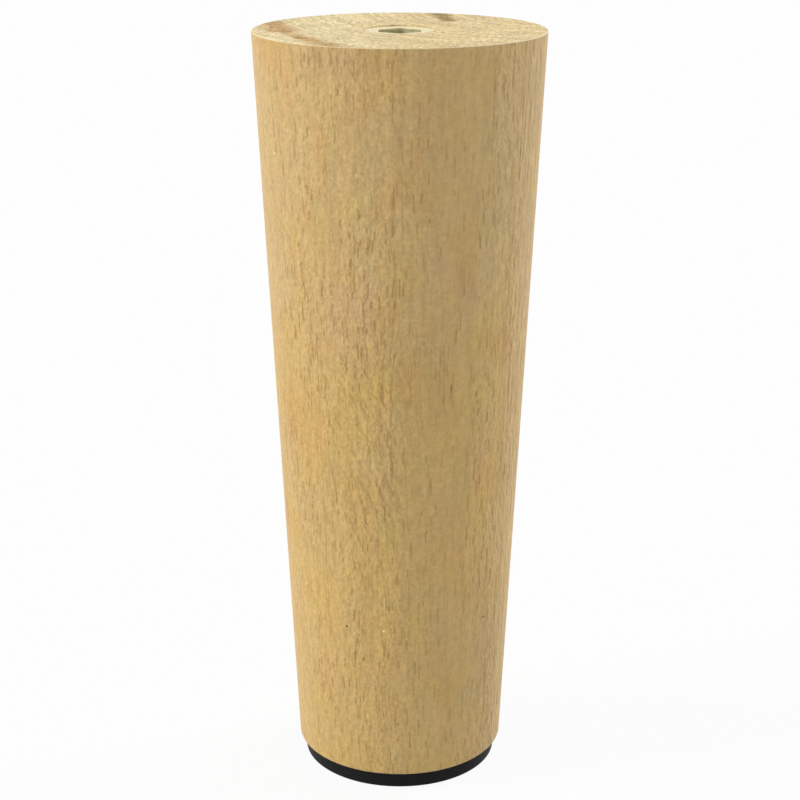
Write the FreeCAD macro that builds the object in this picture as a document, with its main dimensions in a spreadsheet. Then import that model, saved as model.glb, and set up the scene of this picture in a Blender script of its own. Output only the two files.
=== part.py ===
"""Tapered wooden furniture leg with a hex-drive threaded insert and a screwed-on glide.

Millimetres, +Z up. The origin is the centre of the glide's underside, where the leg meets the floor.
"""
import FreeCAD, Part
import Sketcher
import os

PART_FOLDER = "parts"
# How near to its expected place an edge has to lie to be taken for the rim, in mm
RIM_MATCH = 1e-4
# How deep a thread ridge starts inside its core, in mm, so that the two become one solid
RIDGE_ROOT_DEPTH = 0.1
# The minor diameter of a metric thread is the bolt size less this many pitches
MINOR_DIAMETER_PITCHES = 1.0825

# Driving dimensions, in millimetres and degrees: alias, value, what it measures
SIZES = [
    ("overall_height", 150.0, "floor to the top face of the wood"),
    ("top_diameter", 56.0, "wood at its top face"),
    ("bottom_diameter", 42.0, "wood at its lower face"),
    ("top_edge_break", 0.3, "chamfer of the upper rim"),
    ("bottom_edge_break", 0.5, "chamfer of the lower rim"),
    ("insert_length", 20.0, "threaded insert, flange face to tip"),
    ("insert_flange_diameter", 13.6, "flange of the insert"),
    ("insert_flange_thickness", 1.4, "flange of the insert"),
    ("insert_sink", 0.25, "flange face below the wood's top face"),
    ("insert_core_diameter", 10.8, "insert under its coarse thread"),
    ("insert_thread_diameter", 12.8, "crest of the coarse thread"),
    ("insert_thread_pitch", 3.2, "coarse thread"),
    ("insert_thread_root", 1.5, "axial width of the ridge at the core"),
    ("insert_thread_crest", 0.35, "axial width of the ridge at its crest"),
    ("insert_thread_start", 2.0, "plain lead at the insert's tip"),
    ("insert_tip_chamfer", 0.8, "chamfer round the insert's tip"),
    ("hex_across_flats", 8.1, "socket for an 8 mm key"),
    ("hex_depth", 8.0, "socket, from the flange face"),
    ("bolt_size", 8.0, "metric thread under the socket"),
    ("bolt_pitch", 1.25, "metric thread under the socket"),
    ("insert_fit", 0.05, "gap between insert and wood, at core and thread"),
    ("flange_gap", 0.15, "radial gap round the flange"),
    ("bolt_run_out", 8.0, "drilled depth below the insert's tip"),
    ("drill_point_angle", 118.0, "point of the wood drill"),
    ("glide_diameter", 39.5, "plastic disc under the foot"),
    ("glide_thickness", 3.5, "plastic disc under the foot"),
    ("glide_edge_chamfer", 0.4, "lower rim of the glide"),
    ("screw_length", 18.0, "head face to point"),
    ("screw_head_diameter", 7.0, "countersunk head"),
    ("screw_head_rim", 0.3, "plain rim of the head"),
    ("screw_diameter", 3.5, "shank, over the crests of its fine thread"),
    ("screw_point_length", 3.0, "tapered point"),
    ("screw_cross_width", 0.9, "arm of the cross recess"),
    ("screw_cross_span", 3.8, "cross recess, end to end"),
    ("screw_cross_depth", 1.4, "cross recess"),
    ("screw_fit", 0.05, "gap round the screw in the wood, and at its head in the glide"),
    ("screw_hole_gap", 0.2, "radial gap round the screw's shank in the glide"),
    ("screw_sink", 0.6, "head face above the glide's underside"),
]

doc = FreeCAD.newDocument("furniture_leg")
sheet = doc.addObject("Spreadsheet::Sheet", "sizes")
for row, (alias, value, note) in enumerate(SIZES, start=1):
    sheet.set(f"A{row}", str(value))
    sheet.setAlias(f"A{row}", alias)
    sheet.set(f"B{row}", note)
doc.recompute()

# Places worked out from the driving dimensions, as expressions in each piece's own frame
WOOD_LENGTH = "(sizes.overall_height - sizes.glide_thickness)"
INSERT_TIP_IN_WOOD = f"({WOOD_LENGTH} - sizes.insert_sink - sizes.insert_length)"
FLANGE_SEAT_IN_WOOD = f"({WOOD_LENGTH} - sizes.insert_sink - sizes.insert_flange_thickness)"
FLANGE_SEAT_IN_INSERT = "(sizes.insert_length - sizes.insert_flange_thickness)"
HEX_FLOOR = "(sizes.insert_length - sizes.hex_depth)"
INSERT_THREAD_RUN = (f"({FLANGE_SEAT_IN_INSERT} - sizes.insert_thread_start"
                     " - sizes.insert_thread_root)")
MINOR_RADIUS = f"((sizes.bolt_size - {MINOR_DIAMETER_PITCHES} * sizes.bolt_pitch) / 2)"
SCREW_HEAD_CONE = "((sizes.screw_head_diameter - sizes.screw_diameter) / 2)"
SCREW_TIP_IN_WOOD = "(sizes.screw_sink + sizes.screw_length - sizes.glide_thickness)"


def origin_plane(body, role):
    """The body's own origin plane with that role, such as XZ_Plane."""
    return next(item for item in body.Origin.OriginFeatures if item.Role == role)


def new_body(name, height_expression):
    """An empty body that stands at a height given by an expression."""
    body = doc.addObject("PartDesign::Body", name)
    body.Label = name
    body.setExpression("Placement.Base.z", height_expression)
    return body


def pin_coordinate(sketch, constraint, corner, expression):
    """Hold one coordinate of a sketch corner at an expression, or on the axis where it is zero."""
    if expression == "0":
        axis_line = -2 if constraint == "DistanceX" else -1
        sketch.addConstraint(Sketcher.Constraint("PointOnObject", corner, 1, axis_line))
        return
    value = float(sketch.evalExpression(expression))
    index = sketch.addConstraint(Sketcher.Constraint(constraint, -1, 1, corner, 1, value))
    sketch.setExpression(f"Constraints[{index}]", expression)


def outline_sketch(body, name, corners, role="XZ_Plane"):
    """A closed outline in an upright origin plane, each corner an (across, up) pair of expressions."""
    sketch = body.newObject("Sketcher::SketchObject", name)
    sketch.AttachmentSupport = [(origin_plane(body, role), "")]
    sketch.MapMode = "FlatFace"
    places = [[float(sketch.evalExpression(part)) for part in corner] for corner in corners]
    points = [FreeCAD.Vector(across, up, 0) for across, up in places]
    count = len(points)
    for index in range(count):
        sketch.addGeometry(Part.LineSegment(points[index], points[(index + 1) % count]), False)
    for index in range(count):
        sketch.addConstraint(Sketcher.Constraint("Coincident", index, 2, (index + 1) % count, 1))
    for index, (across, up) in enumerate(corners):
        pin_coordinate(sketch, "DistanceX", index, across)
        pin_coordinate(sketch, "DistanceY", index, up)
    return sketch


def revolve(body, kind, name, corners):
    """Turn an outline about the vertical axis, as a Revolution or a Groove."""
    sketch = outline_sketch(body, name + "_outline", corners)
    feature = body.newObject("PartDesign::" + kind, name)
    feature.Profile = sketch
    feature.ReferenceAxis = (sketch, ["V_Axis"])
    feature.Angle = 360
    body.Tip = feature
    return feature


def wind_thread(body, kind, name, corners, pitch, run):
    """Wind an outline about the vertical axis, as an AdditiveHelix or a SubtractiveHelix.

    The outline stands in the YZ plane, a quarter turn from the seam of the turned faces.
    """
    sketch = outline_sketch(body, name + "_outline", corners, "YZ_Plane")
    helix = body.newObject("PartDesign::" + kind, name)
    helix.Profile = sketch
    helix.ReferenceAxis = (sketch, ["V_Axis"])
    helix.Mode = 0
    helix.setExpression("Pitch", pitch)
    helix.setExpression("Height", run)
    body.Tip = helix
    return helix


def break_rim(body, name, base, size_alias, height, rim_radius):
    """Chamfer the circular edge of a turned piece that lies at that height and radius."""
    doc.recompute()
    wanted_height = float(sheet.evalExpression(height))
    wanted_radius = float(sheet.evalExpression(rim_radius))
    edges = []
    for index, edge in enumerate(base.Shape.Edges, start=1):
        box = edge.BoundBox
        off_height = max(abs(box.ZMin - wanted_height), abs(box.ZMax - wanted_height))
        if off_height < RIM_MATCH and abs(box.XMax - wanted_radius) < RIM_MATCH:
            edges.append(f"Edge{index}")
    chamfer = body.newObject("PartDesign::Chamfer", name)
    chamfer.Base = (base, edges)
    chamfer.setExpression("Size", "sizes." + size_alias)
    body.Tip = chamfer
    return chamfer


def ridge_corners(core_radius, crest_radius, root, crest, start, grow="0"):
    """The four corners of a thread ridge: root inside the core, crest outside, start at its foot.

    grow widens it all round, for the groove that the ridge turns in.
    """
    middle = f"({start} + {root} / 2)"
    half_root = f"({root} / 2 + {grow})"
    half_crest = f"({crest} / 2 + {grow})"
    return [
        (f"{core_radius} - {RIDGE_ROOT_DEPTH}", f"{middle} - {half_root}"),
        (f"{crest_radius} + {grow}", f"{middle} - {half_crest}"),
        (f"{crest_radius} + {grow}", f"{middle} + {half_crest}"),
        (f"{core_radius} - {RIDGE_ROOT_DEPTH}", f"{middle} + {half_root}"),
    ]


def drilled_hole(body, name, radius, mouth, floor, direction):
    """Drill a blind hole with a conical point; direction is + where the point is above the mouth."""
    point = f"({radius} / tan(sizes.drill_point_angle * 1deg / 2))"
    corners = [
        ("0", mouth),
        (radius, mouth),
        (radius, floor),
        ("0", f"{floor} {direction} {point}"),
    ]
    return revolve(body, "Groove", name, corners)


def cross_recess(body):
    """Cut the two crossed slots of the screw's driving recess into its lower face."""
    for name, width, span in [
        ("cross_arm_one", "sizes.screw_cross_width", "sizes.screw_cross_span"),
        ("cross_arm_two", "sizes.screw_cross_span", "sizes.screw_cross_width"),
    ]:
        arm = body.newObject("PartDesign::SubtractiveBox", name)
        arm.AttachmentSupport = [(origin_plane(body, "XY_Plane"), "")]
        arm.MapMode = "FlatFace"
        arm.setExpression("Length", width)
        arm.setExpression("Width", span)
        arm.setExpression("Height", "sizes.screw_cross_depth")
        arm.setExpression("AttachmentOffset.Base.x", f"-{width} / 2")
        arm.setExpression("AttachmentOffset.Base.y", f"-{span} / 2")
        body.Tip = arm


def make_leg_body():
    """The turned taper, with the insert's threaded hole above and the screw's pilot hole below."""
    body = new_body("leg_body", "sizes.glide_thickness")
    bottom_radius = "sizes.bottom_diameter / 2"
    top_radius = "sizes.top_diameter / 2"
    taper = revolve(body, "Revolution", "taper", [
        ("0", "0"),
        (bottom_radius, "0"),
        (top_radius, WOOD_LENGTH),
        ("0", WOOD_LENGTH),
    ])
    upper = break_rim(body, "upper_rim", taper, "top_edge_break", WOOD_LENGTH, top_radius)
    break_rim(body, "lower_rim", upper, "bottom_edge_break", "0", bottom_radius)

    recess_radius = "(sizes.insert_flange_diameter / 2 + sizes.flange_gap)"
    revolve(body, "Groove", "flange_recess", [
        ("0", FLANGE_SEAT_IN_WOOD),
        (recess_radius, FLANGE_SEAT_IN_WOOD),
        (recess_radius, WOOD_LENGTH),
        ("0", WOOD_LENGTH),
    ])
    bore_radius = "(sizes.insert_core_diameter / 2 + sizes.insert_fit)"
    drilled_hole(body, "insert_bore", bore_radius, FLANGE_SEAT_IN_WOOD,
                 f"({INSERT_TIP_IN_WOOD} - sizes.bolt_run_out)", "-")
    groove_start = (f"({INSERT_TIP_IN_WOOD} + sizes.insert_thread_start"
                    " - sizes.insert_thread_pitch)")
    wind_thread(body, "SubtractiveHelix", "insert_thread_groove",
                ridge_corners("sizes.insert_core_diameter / 2", "sizes.insert_thread_diameter / 2",
                              "sizes.insert_thread_root", "sizes.insert_thread_crest",
                              groove_start, "sizes.insert_fit"),
                "sizes.insert_thread_pitch",
                f"{INSERT_THREAD_RUN} + 2 * sizes.insert_thread_pitch")

    drilled_hole(body, "screw_pilot", "(sizes.screw_diameter / 2 + sizes.screw_fit)", "0",
                 SCREW_TIP_IN_WOOD, "+")
    return body


def make_threaded_insert():
    """The insert nut: flange and core, coarse wood thread, hexagon socket and metric bore."""
    body = new_body("threaded_insert",
                    "sizes.overall_height - sizes.insert_sink - sizes.insert_length")
    core_radius = "sizes.insert_core_diameter / 2"
    flange_radius = "sizes.insert_flange_diameter / 2"
    revolve(body, "Revolution", "flange_and_core", [
        ("0", "0"),
        (f"{core_radius} - sizes.insert_tip_chamfer", "0"),
        (core_radius, "sizes.insert_tip_chamfer"),
        (core_radius, FLANGE_SEAT_IN_INSERT),
        (flange_radius, FLANGE_SEAT_IN_INSERT),
        (flange_radius, "sizes.insert_length"),
        ("0", "sizes.insert_length"),
    ])
    wind_thread(body, "AdditiveHelix", "coarse_thread",
                ridge_corners(core_radius, "sizes.insert_thread_diameter / 2",
                              "sizes.insert_thread_root", "sizes.insert_thread_crest",
                              "sizes.insert_thread_start"),
                "sizes.insert_thread_pitch", INSERT_THREAD_RUN)
    revolve(body, "Groove", "metric_bore", [
        ("0", "0"),
        (MINOR_RADIUS, "0"),
        (MINOR_RADIUS, HEX_FLOOR),
        ("0", HEX_FLOOR),
    ])
    socket = body.newObject("PartDesign::SubtractivePrism", "hex_socket")
    socket.AttachmentSupport = [(origin_plane(body, "XY_Plane"), "")]
    socket.MapMode = "FlatFace"
    socket.AttachmentOffset = FreeCAD.Placement(
        FreeCAD.Vector(0, 0, 0), FreeCAD.Rotation(FreeCAD.Vector(0, 0, 1), 90))
    socket.Polygon = 6
    socket.setExpression("AttachmentOffset.Base.z", HEX_FLOOR)
    socket.setExpression("Circumradius", "sizes.hex_across_flats / 2 / cos(30deg)")
    socket.setExpression("Height", "sizes.hex_depth")
    body.Tip = socket
    return body


def make_glide():
    """The plastic disc, with a countersunk hole for the screw on its underside."""
    body = new_body("glide", "0")
    disc_radius = "sizes.glide_diameter / 2"
    revolve(body, "Revolution", "disc", [
        ("0", "0"),
        (f"{disc_radius} - sizes.glide_edge_chamfer", "0"),
        (disc_radius, "sizes.glide_edge_chamfer"),
        (disc_radius, "sizes.glide_thickness"),
        ("0", "sizes.glide_thickness"),
    ])
    head_radius = "(sizes.screw_head_diameter / 2 + sizes.screw_fit)"
    hole_radius = "(sizes.screw_diameter / 2 + sizes.screw_hole_gap)"
    rim_top = "(sizes.screw_sink + sizes.screw_head_rim)"
    revolve(body, "Groove", "countersink", [
        ("0", "0"),
        (head_radius, "0"),
        (head_radius, rim_top),
        (hole_radius, f"{rim_top} + {head_radius} - {hole_radius}"),
        (hole_radius, "sizes.glide_thickness"),
        ("0", "sizes.glide_thickness"),
    ])
    return body


def make_glide_screw():
    """The countersunk wood screw, its head down and its point up in the wood."""
    body = new_body("glide_screw", "sizes.screw_sink")
    head_radius = "sizes.screw_head_diameter / 2"
    shank_radius = "sizes.screw_diameter / 2"
    revolve(body, "Revolution", "head_and_shank", [
        ("0", "0"),
        (head_radius, "0"),
        (head_radius, "sizes.screw_head_rim"),
        (shank_radius, f"sizes.screw_head_rim + {SCREW_HEAD_CONE}"),
        (shank_radius, "sizes.screw_length - sizes.screw_point_length"),
        ("0", "sizes.screw_length"),
    ])
    cross_recess(body)
    return body


def export(bodies):
    """Check every object of the document, then write one STEP file for each piece."""
    doc.recompute()
    for item in doc.Objects:
        if "Invalid" in item.State or "Error" in item.State:
            raise RuntimeError(f"{item.Name} failed: {item.State}")
    os.makedirs(PART_FOLDER, exist_ok=True)
    for body in bodies:
        if body.Shape.isNull() or not body.Shape.isValid():
            raise RuntimeError(f"{body.Label} has no valid shape")
        body.Shape.exportStep(os.path.join(PART_FOLDER, body.Label + ".step"))
        print(body.Label, "solids", len(body.Shape.Solids), "volume", round(body.Shape.Volume, 2))


export([make_leg_body(), make_threaded_insert(), make_glide(), make_glide_screw()])
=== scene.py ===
"""Looks of the tapered wooden furniture leg: turned wood, threaded insert, glide and its screw."""
import math

import bmesh
import bpy
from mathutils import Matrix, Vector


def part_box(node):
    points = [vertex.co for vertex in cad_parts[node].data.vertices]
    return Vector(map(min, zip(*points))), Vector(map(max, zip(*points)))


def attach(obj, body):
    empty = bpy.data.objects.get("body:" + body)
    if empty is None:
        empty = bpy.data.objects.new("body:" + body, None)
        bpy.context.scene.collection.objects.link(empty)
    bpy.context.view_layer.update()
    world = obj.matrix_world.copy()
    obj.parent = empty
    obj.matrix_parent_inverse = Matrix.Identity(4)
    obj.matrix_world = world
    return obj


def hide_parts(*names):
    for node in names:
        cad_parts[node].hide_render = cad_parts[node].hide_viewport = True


bl_info = {
    "name": "Tapered furniture leg",
    "version": (1, 0, 0),
    "blender": (4, 5, 0),
    "location": "3D View > Sidebar > Furniture leg",
    "description": "Models and finishes a tapered wooden leg with a threaded insert and a glide",
    "category": "Object",
}

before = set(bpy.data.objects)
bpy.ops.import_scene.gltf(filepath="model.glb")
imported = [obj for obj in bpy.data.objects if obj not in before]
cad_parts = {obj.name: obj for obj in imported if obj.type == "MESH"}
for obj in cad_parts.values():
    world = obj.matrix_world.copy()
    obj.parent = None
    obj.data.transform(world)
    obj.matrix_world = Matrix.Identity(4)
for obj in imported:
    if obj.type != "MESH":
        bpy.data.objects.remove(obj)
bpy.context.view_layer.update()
WOOD_LOW, WOOD_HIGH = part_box("leg_body")
INSERT_LOW, INSERT_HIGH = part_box("threaded_insert")
GLIDE_LOW, GLIDE_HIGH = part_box("glide")
SCREW_LOW, SCREW_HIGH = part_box("glide_screw")

MM = 0.001
MM_PER_METRE = 1000.0

# How near a corner has to lie to a height or radius to count as on it, and the corners of a rim
CLOSE = 0.02 * MM
RIM_STEPS = 256
# Point of the twist drills, and how far a drill reaches past the hole's ends
DRILL_POINT = math.radians(118)
OVERCUT = 2.0 * MM
# How far a ridge's root is sunk into its core, so that the two join
RIDGE_SINK = 0.1 * MM
# Half heights of the thread ridges, at the root and at the crest
COARSE_HALVES = (0.75 * MM, 0.175 * MM)
METRIC_HALVES = (0.59 * MM, 0.08 * MM)
SCREW_HALVES = (0.35 * MM, 0.05 * MM)
# Depth of a metric nut's thread in pitches, and a radius well inside its bore for the tap
METRIC_THREAD_DEPTH = 0.541266
TAP_ROOT_RADIUS = 3.1 * MM
# Width of the cross recess at its floor, as a share of its width at the head's face
CROSS_TAPER = 0.75

# Wood. Turns round the leg are in degrees from the front, other measures in mm.
# One degree is taken to be as wide on the skin as it is halfway up the leg
SKIN_MM_PER_DEGREE = 0.428
# Heights are pressed together by this much while the fibres' wandering is worked out
FIBRE_PRESS = 0.3
# Strokes on the skin: spacing round the leg, spacing along it as a multiple of that, largest half
# width, largest half height, largest slope, and a shift that sets one layer off from the others
THIN_PORES = (1.2, 3.2, 0.14, 2.0, 0.05, 3.1)
BOLD_PORES = (1.9, 2.6, 0.30, 2.6, 0.06, 11.7)
SPARSE_PORES = (3.0, 1.9, 0.28, 2.4, 0.04, 33.9)
LONG_PORES = (5.0, 5.0, 0.12, 10.0, 0.01, 27.3)
LIFTED_FIBRES = (0.9, 1.8, 0.26, 0.9, 0.3, 41.9)
# Centre of the rings, and the tints of the end grain's two halves
PITH = (42.0, 30.0, 0.0)
COOL_END = (1.02, 1.04, 1.07)
WARM_END = (0.96, 0.93, 0.89)

# Stains of the side grain, and painted shade and painted sheen at the right: turn, height, half
# width, half height, tint, share
SIDE_STAINS_SHADE_AND_SHEEN = [
    (-52, 77, 7, 10, (0.97, 0.90, 0.81), 0.8),
    (-68, 54, 4.5, 4, (1, 0.91, 0.80), 0.7),
    (-50, 59, 5, 4, (0.98, 1, 1.08), 0.6),
    (-60, 147, 6, 4.5, (0.99, 0.92, 0.80), 0.8),
    (-20, 148, 9, 3.5, (0.95, 0.92, 0.95), 0.8),
    (-36, 126, 4, 9, (1, 1.03, 1.07), 0.6),
    (-22, 100, 8.5, 9, (0.99, 0.94, 1.05), 0.8),
    (-15, 86, 8, 3.5, (1.01, 1.01, 0.86), 0.8),
    (-20, 65, 5.5, 6.5, (0.97, 0.94, 0.80), 0.8),
    (26, 108, 3.5, 9, (1.01, 0.95, 0.93), 0.7),
    (46, 124, 4.5, 14, (0.95, 1.01, 1.02), 0.8),
    (50, 93, 4.5, 4, (1, 0.90, 0.83), 0.8),
    (44, 65, 4, 6.5, (0.99, 0.91, 0.82), 0.7),
    (53, 70, 2.5, 6, (1.03, 1.03, 0.82), 0.6),
    # Painted shade: the lower right of the skin darker and bluer
    (57, 22, 10, 24, (0.87, 0.88, 0.94), 0.9),
    # Painted sheen: a bluish pale streak on the right edge
    (62, 98, 4, 16, (1.02, 1.02, 1.12), 0.8),
    (-68, 74, 5, 22, (0.98, 0.96, 0.90), 0.8),
    (0, 12, 22, 8, (1, 1.02, 1.08), 0.7),
    (62, 141, 7, 7, (0.93, 0.94, 1), 0.8),
    # Painted sheen: the right edge bluer at mid height
    (62, 76, 6, 13, (1, 1, 1.10), 0.8),
]
# Dark lines and dots: turn, upper end, lower end, half width, depth
SIDE_LINES = [
    (-38, 96, 36, 0.15, 0.6),
    (-2.7, 147.6, 136.8, 0.17, 0.8),
    (-3.8, 104, 55, 0.17, 0.55),
    (0.7, 135.5, 130, 0.13, 0.5),
    (1, 128, 109, 0.12, 0.5),
    (9.5, 50, 28, 0.12, 0.5),
    (38.1, 147.6, 132.4, 0.14, 0.8),
    (12.6, 61, 49, 0.13, 0.6),
    (23, 86.8, 83.6, 0.22, 1.2),
    (17.3, 94, 84, 0.16, 0.6),
    (19.3, 93, 83, 0.16, 0.6),
    (21.2, 95, 88, 0.16, 0.6),
]
# Pin knots and pale nicks: turn and height
PIN_KNOTS = [(-27.5, 36), (47.7, 35.8)]
PALE_NICKS = [(-59, 129), (-8, 36)]
SPOT_RADIUS = 0.3
KNOT_BLACK = (0.02, 0.015, 0.01, 1.0)
NICK_CREAM = (0.88, 0.74, 0.50, 1.0)
# Mineral streaks of the end grain: start, finish, width, tint, share
RED_BROWN = (0.68, 0.52, 0.36)
GREY_BROWN = (0.36, 0.28, 0.14)
END_STREAKS = [
    ((-25.2, 11, 0), (-22, -3, 0), 3.4, RED_BROWN, 1),
    ((-22, -3, 0), (-17.5, -13.5, 0), 1.8, RED_BROWN, 0.7),
    ((-17.5, -13.5, 0), (-11, -27, 0), 2.6, RED_BROWN, 1),
    ((7.5, 27.5, 0), (9.5, 14, 0), 2.2, GREY_BROWN, 0.9),
]

# Scuffs of the black plastic
SCUFF_GREY = (0.03, 0.03, 0.032, 1.0)

# Stage
WHITE = (1.0, 1.0, 1.0, 1.0)
PAPER_WHITE = (0.85, 0.85, 0.85, 1.0)
FLOOR_SIZE = 6.0
# Share of plain white in what the camera sees of the floor; the rest shows the leg's shadow
FLOOR_GLOW = 0.93
# Strength of the room's light on the leg
ROOM_LEVEL = 0.475
# Lamps: name, turn and height in degrees, strength, softness in degrees, tint
LAMPS = [
    ("left_key", -83.0, 25.0, 1.85, 25.0, (1.0, 0.96, 0.88)),
    ("right_rim", 125.0, 25.0, 1.74, 25.0, (0.94, 0.97, 1.0)),
]
# Camera: lens and sensor in mm, shift sideways, place in metres, degrees up from straight down
LENS_MM = 83.58
SENSOR_MM = 36.0
SHIFT = 0.0004
CAMERA_PLACE = (0.0, -0.3545, 0.1923)
CAMERA_TILT = 71.90


# Sizes and colours that a user would change

def length(name, description, size):
    """A length property in metres, with its default given in mm."""
    return bpy.props.FloatProperty(name=name, description=description, default=size * MM,
                                   min=0.0, unit="LENGTH", precision=5)


def colour(name, description, default):
    """A colour property."""
    return bpy.props.FloatVectorProperty(name=name, description=description, default=default,
                                         size=3, min=0.0, max=1.0, subtype="COLOR")


class LegWoodSettings(bpy.types.PropertyGroup):
    """The turned wood."""

    top_width: length("Top width", "Wood at its top face", (WOOD_HIGH.x - WOOD_LOW.x) / MM)
    foot_width: length("Foot width", "Wood at its lower face", 42)
    top_edge: length("Top edge", "Softening of the upper rim", 0.3)
    foot_edge: length("Foot edge", "Softening of the lower rim", 0.5)
    recess_width: length("Recess width", "Seat of the insert's flange", 13.9)
    recess_depth: length("Recess depth", "Seat of the insert's flange", 1.65)
    recess_edge: length("Recess edge", "Softening of the recess's rim", 0.1)
    bore_width: length("Bore width", "Hole round the insert's core", 10.9)
    free_depth: length("Free depth", "Hole below the insert, to its point's start", 8.0)
    pilot_width: length("Pilot width", "Hole for the glide's screw", 3.6)
    pilot_depth: length("Pilot depth", "Pilot hole, to its point's start", 15.1)
    honey_tan: colour("Honey tan", "Ground colour of the side grain", (0.636, 0.426, 0.138))
    pale_tan: colour("Pale tan", "Paler patches of the side grain", (0.620, 0.430, 0.180))
    pink_tan: colour("Pink tan", "Warmer patches of the side grain", (0.640, 0.395, 0.140))
    straw_tan: colour("Straw tan", "Yellower patches of the side grain", (0.640, 0.445, 0.115))
    pore_brown: colour("Pore brown", "Bottom of the open pores", (0.30, 0.145, 0.010))
    # Lifted fibres: partly their own paler colour, partly a painted sheen
    fibre_cream_and_sheen: colour("Fibre cream", "Lifted fibres of the side grain", (0.80, 0.58, 0.27))
    end_cream: colour("End cream", "Ground colour of the end grain", (0.96, 0.81, 0.48))
    end_tan: colour("End tan", "Darker flecks of the end grain", (0.66, 0.48, 0.21))
    streak_brown: colour("Streak brown", "Coarse streaks of the side grain", (0.50, 0.31, 0.13))


class LegInsertSettings(bpy.types.PropertyGroup):
    """The hex-drive threaded insert."""

    flange_width: length("Flange width", "Flange of the insert", 13.6)
    flange_thickness: length("Flange thickness", "Flange of the insert", 1.4)
    flange_edge: length("Flange edge", "Softening of the flange's rim", 0.18)
    core_width: length("Core width", "Insert under its coarse thread", 10.8)
    tip_chamfer: length("Tip chamfer", "Lower end of the insert's core", 0.8)
    crest_width: length("Crest width", "Crest of the coarse thread", 12.8)
    coarse_pitch: length("Coarse pitch", "Coarse thread", 3.2)
    thread_start: length("Thread start", "Coarse thread, above the insert's tip", 2.75)
    thread_run: length("Thread run", "Coarse thread, from its start to its end", 15.1)
    thread_play: length("Thread play", "Room round the coarse thread in the wood", 0.05)
    hex_width: length("Hexagon width", "Socket, across its flats", 8.1)
    hex_depth: length("Hexagon depth", "Socket, from the flange face", 8.0)
    hex_corner: length("Hexagon corner", "Rounding of the socket's corners", 0.25)
    hex_chamfer: length("Hexagon chamfer", "Mouth of the socket", 0.12)
    bolt_width: length("Bolt width", "Metric thread, outside", 8.0)
    bolt_pitch: length("Bolt pitch", "Metric thread", 1.25)
    bare_metal: colour("Bare metal", "Pale zinc of the flange", (0.79, 0.68, 0.42))
    # Painted shade: zinc down the socket darker and greener
    shaded_socket_metal: colour("Socket metal", "Duller zinc inside the socket", (0.57, 0.55, 0.35))


class LegGlideSettings(bpy.types.PropertyGroup):
    """The plastic glide and its screw."""

    width: length("Width", "Disc under the foot", (GLIDE_HIGH.x - GLIDE_LOW.x) / MM)
    lower_edge: length("Lower edge", "Rounding of the disc's lower rim", 0.4)
    upper_edge: length("Upper edge", "Rounding of the disc's upper rim", 0.15)
    hole_width: length("Hole width", "Hole round the screw's shank", 3.9)
    sink_width: length("Countersink width", "Mouth of the screw's seat", 7.1)
    sink_rim: length("Countersink rim", "Plain part of the screw's seat", 0.9)
    plastic: colour("Plastic", "Moulded black plastic", (0.008, 0.008, 0.009))
    head_width: length("Head width", "Countersunk head of the screw", 7.0)
    head_rim: length("Head rim", "Straight part of the screw's head", 0.3)
    head_edge: length("Head edge", "Softening of the head's rim", 0.1)
    shank_width: length("Shank width", "Screw over its thread", 3.5)
    plain_shank: length("Plain shank", "Screw between its head and its thread", 3.0)
    point_length: length("Point length", "Tapered point of the screw", 3.0)
    screw_pitch: length("Screw pitch", "Wood thread of the screw", 1.4)
    thread_depth: length("Thread depth", "Wood thread of the screw", 0.5)
    lead_in: length("Lead-in", "Core between the plain shank and the wood thread", 0.2)
    screw_run: length("Screw run", "Wood thread, from its start to its end", 8.2)
    cross_span: length("Cross span", "Driving recess, end to end", 3.8)
    cross_arm: length("Cross arm", "Driving recess, arm", 0.9)
    cross_depth: length("Cross depth", "Driving recess", 1.4)
    steel: colour("Steel", "Bright zinc plating", (0.6, 0.6, 0.58))


# Modelling by hand: small steps shared by the pieces

def lay_down_tools():
    """Leave edit mode and deselect everything."""
    if bpy.context.object and bpy.context.object.mode != "OBJECT":
        bpy.ops.object.mode_set(mode="OBJECT")
    bpy.ops.object.select_all(action="DESELECT")


def take_up(piece):
    """Make one object the active one and the only one selected."""
    lay_down_tools()
    piece.select_set(True)
    bpy.context.view_layer.objects.active = piece


def start_piece(name):
    """Name the primitive that was just added and put its place into its mesh."""
    piece = bpy.context.active_object
    piece.name = name
    piece.data.name = name
    bpy.ops.object.transform_apply(location=True, rotation=True, scale=True)
    return piece


def stand_cylinder(name, radius, low, high, corners=64):
    """Stand a new cylinder on the axis of the leg, from one height to another."""
    lay_down_tools()
    bpy.ops.mesh.primitive_cylinder_add(vertices=corners, radius=radius, depth=high - low,
                                        location=(0.0, 0.0, (low + high) / 2))
    return start_piece(name)


def pick(piece, kind, wanted):
    """In edit mode, select only the edges or the faces for which wanted() is true."""
    if piece.mode != "EDIT":
        bpy.ops.object.mode_set(mode="EDIT")
    bpy.ops.mesh.select_mode(type=kind)
    bpy.ops.mesh.select_all(action="DESELECT")
    mesh = bmesh.from_edit_mesh(piece.data)
    items = mesh.edges if kind == "EDGE" else mesh.faces
    chosen = [item for item in items if wanted(item)]
    if not chosen:
        raise RuntimeError(f"nothing to select on {piece.name}")
    for item in chosen:
        item.select_set(True)
    mesh.select_flush_mode()
    bmesh.update_edit_mesh(piece.data)


def pick_end(piece, height, up=True):
    """Select the flat end face at a height that looks up or down."""
    sign = 1.0 if up else -1.0
    pick(piece, "FACE", lambda face: face.normal.z * sign > 0.9
         and abs(face.calc_center_median().z - height) < CLOSE)


def pick_ring(piece, height, radius):
    """Select the circular edge at a height and radius."""
    def on_ring(edge):
        return all(abs(corner.co.z - height) < CLOSE
                   and abs(math.hypot(corner.co.x, corner.co.y) - radius) < CLOSE
                   for corner in edge.verts)
    pick(piece, "EDGE", on_ring)


def draw_in(by):
    """Inset the selected face."""
    bpy.ops.mesh.inset(thickness=by, depth=0.0)


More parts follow.
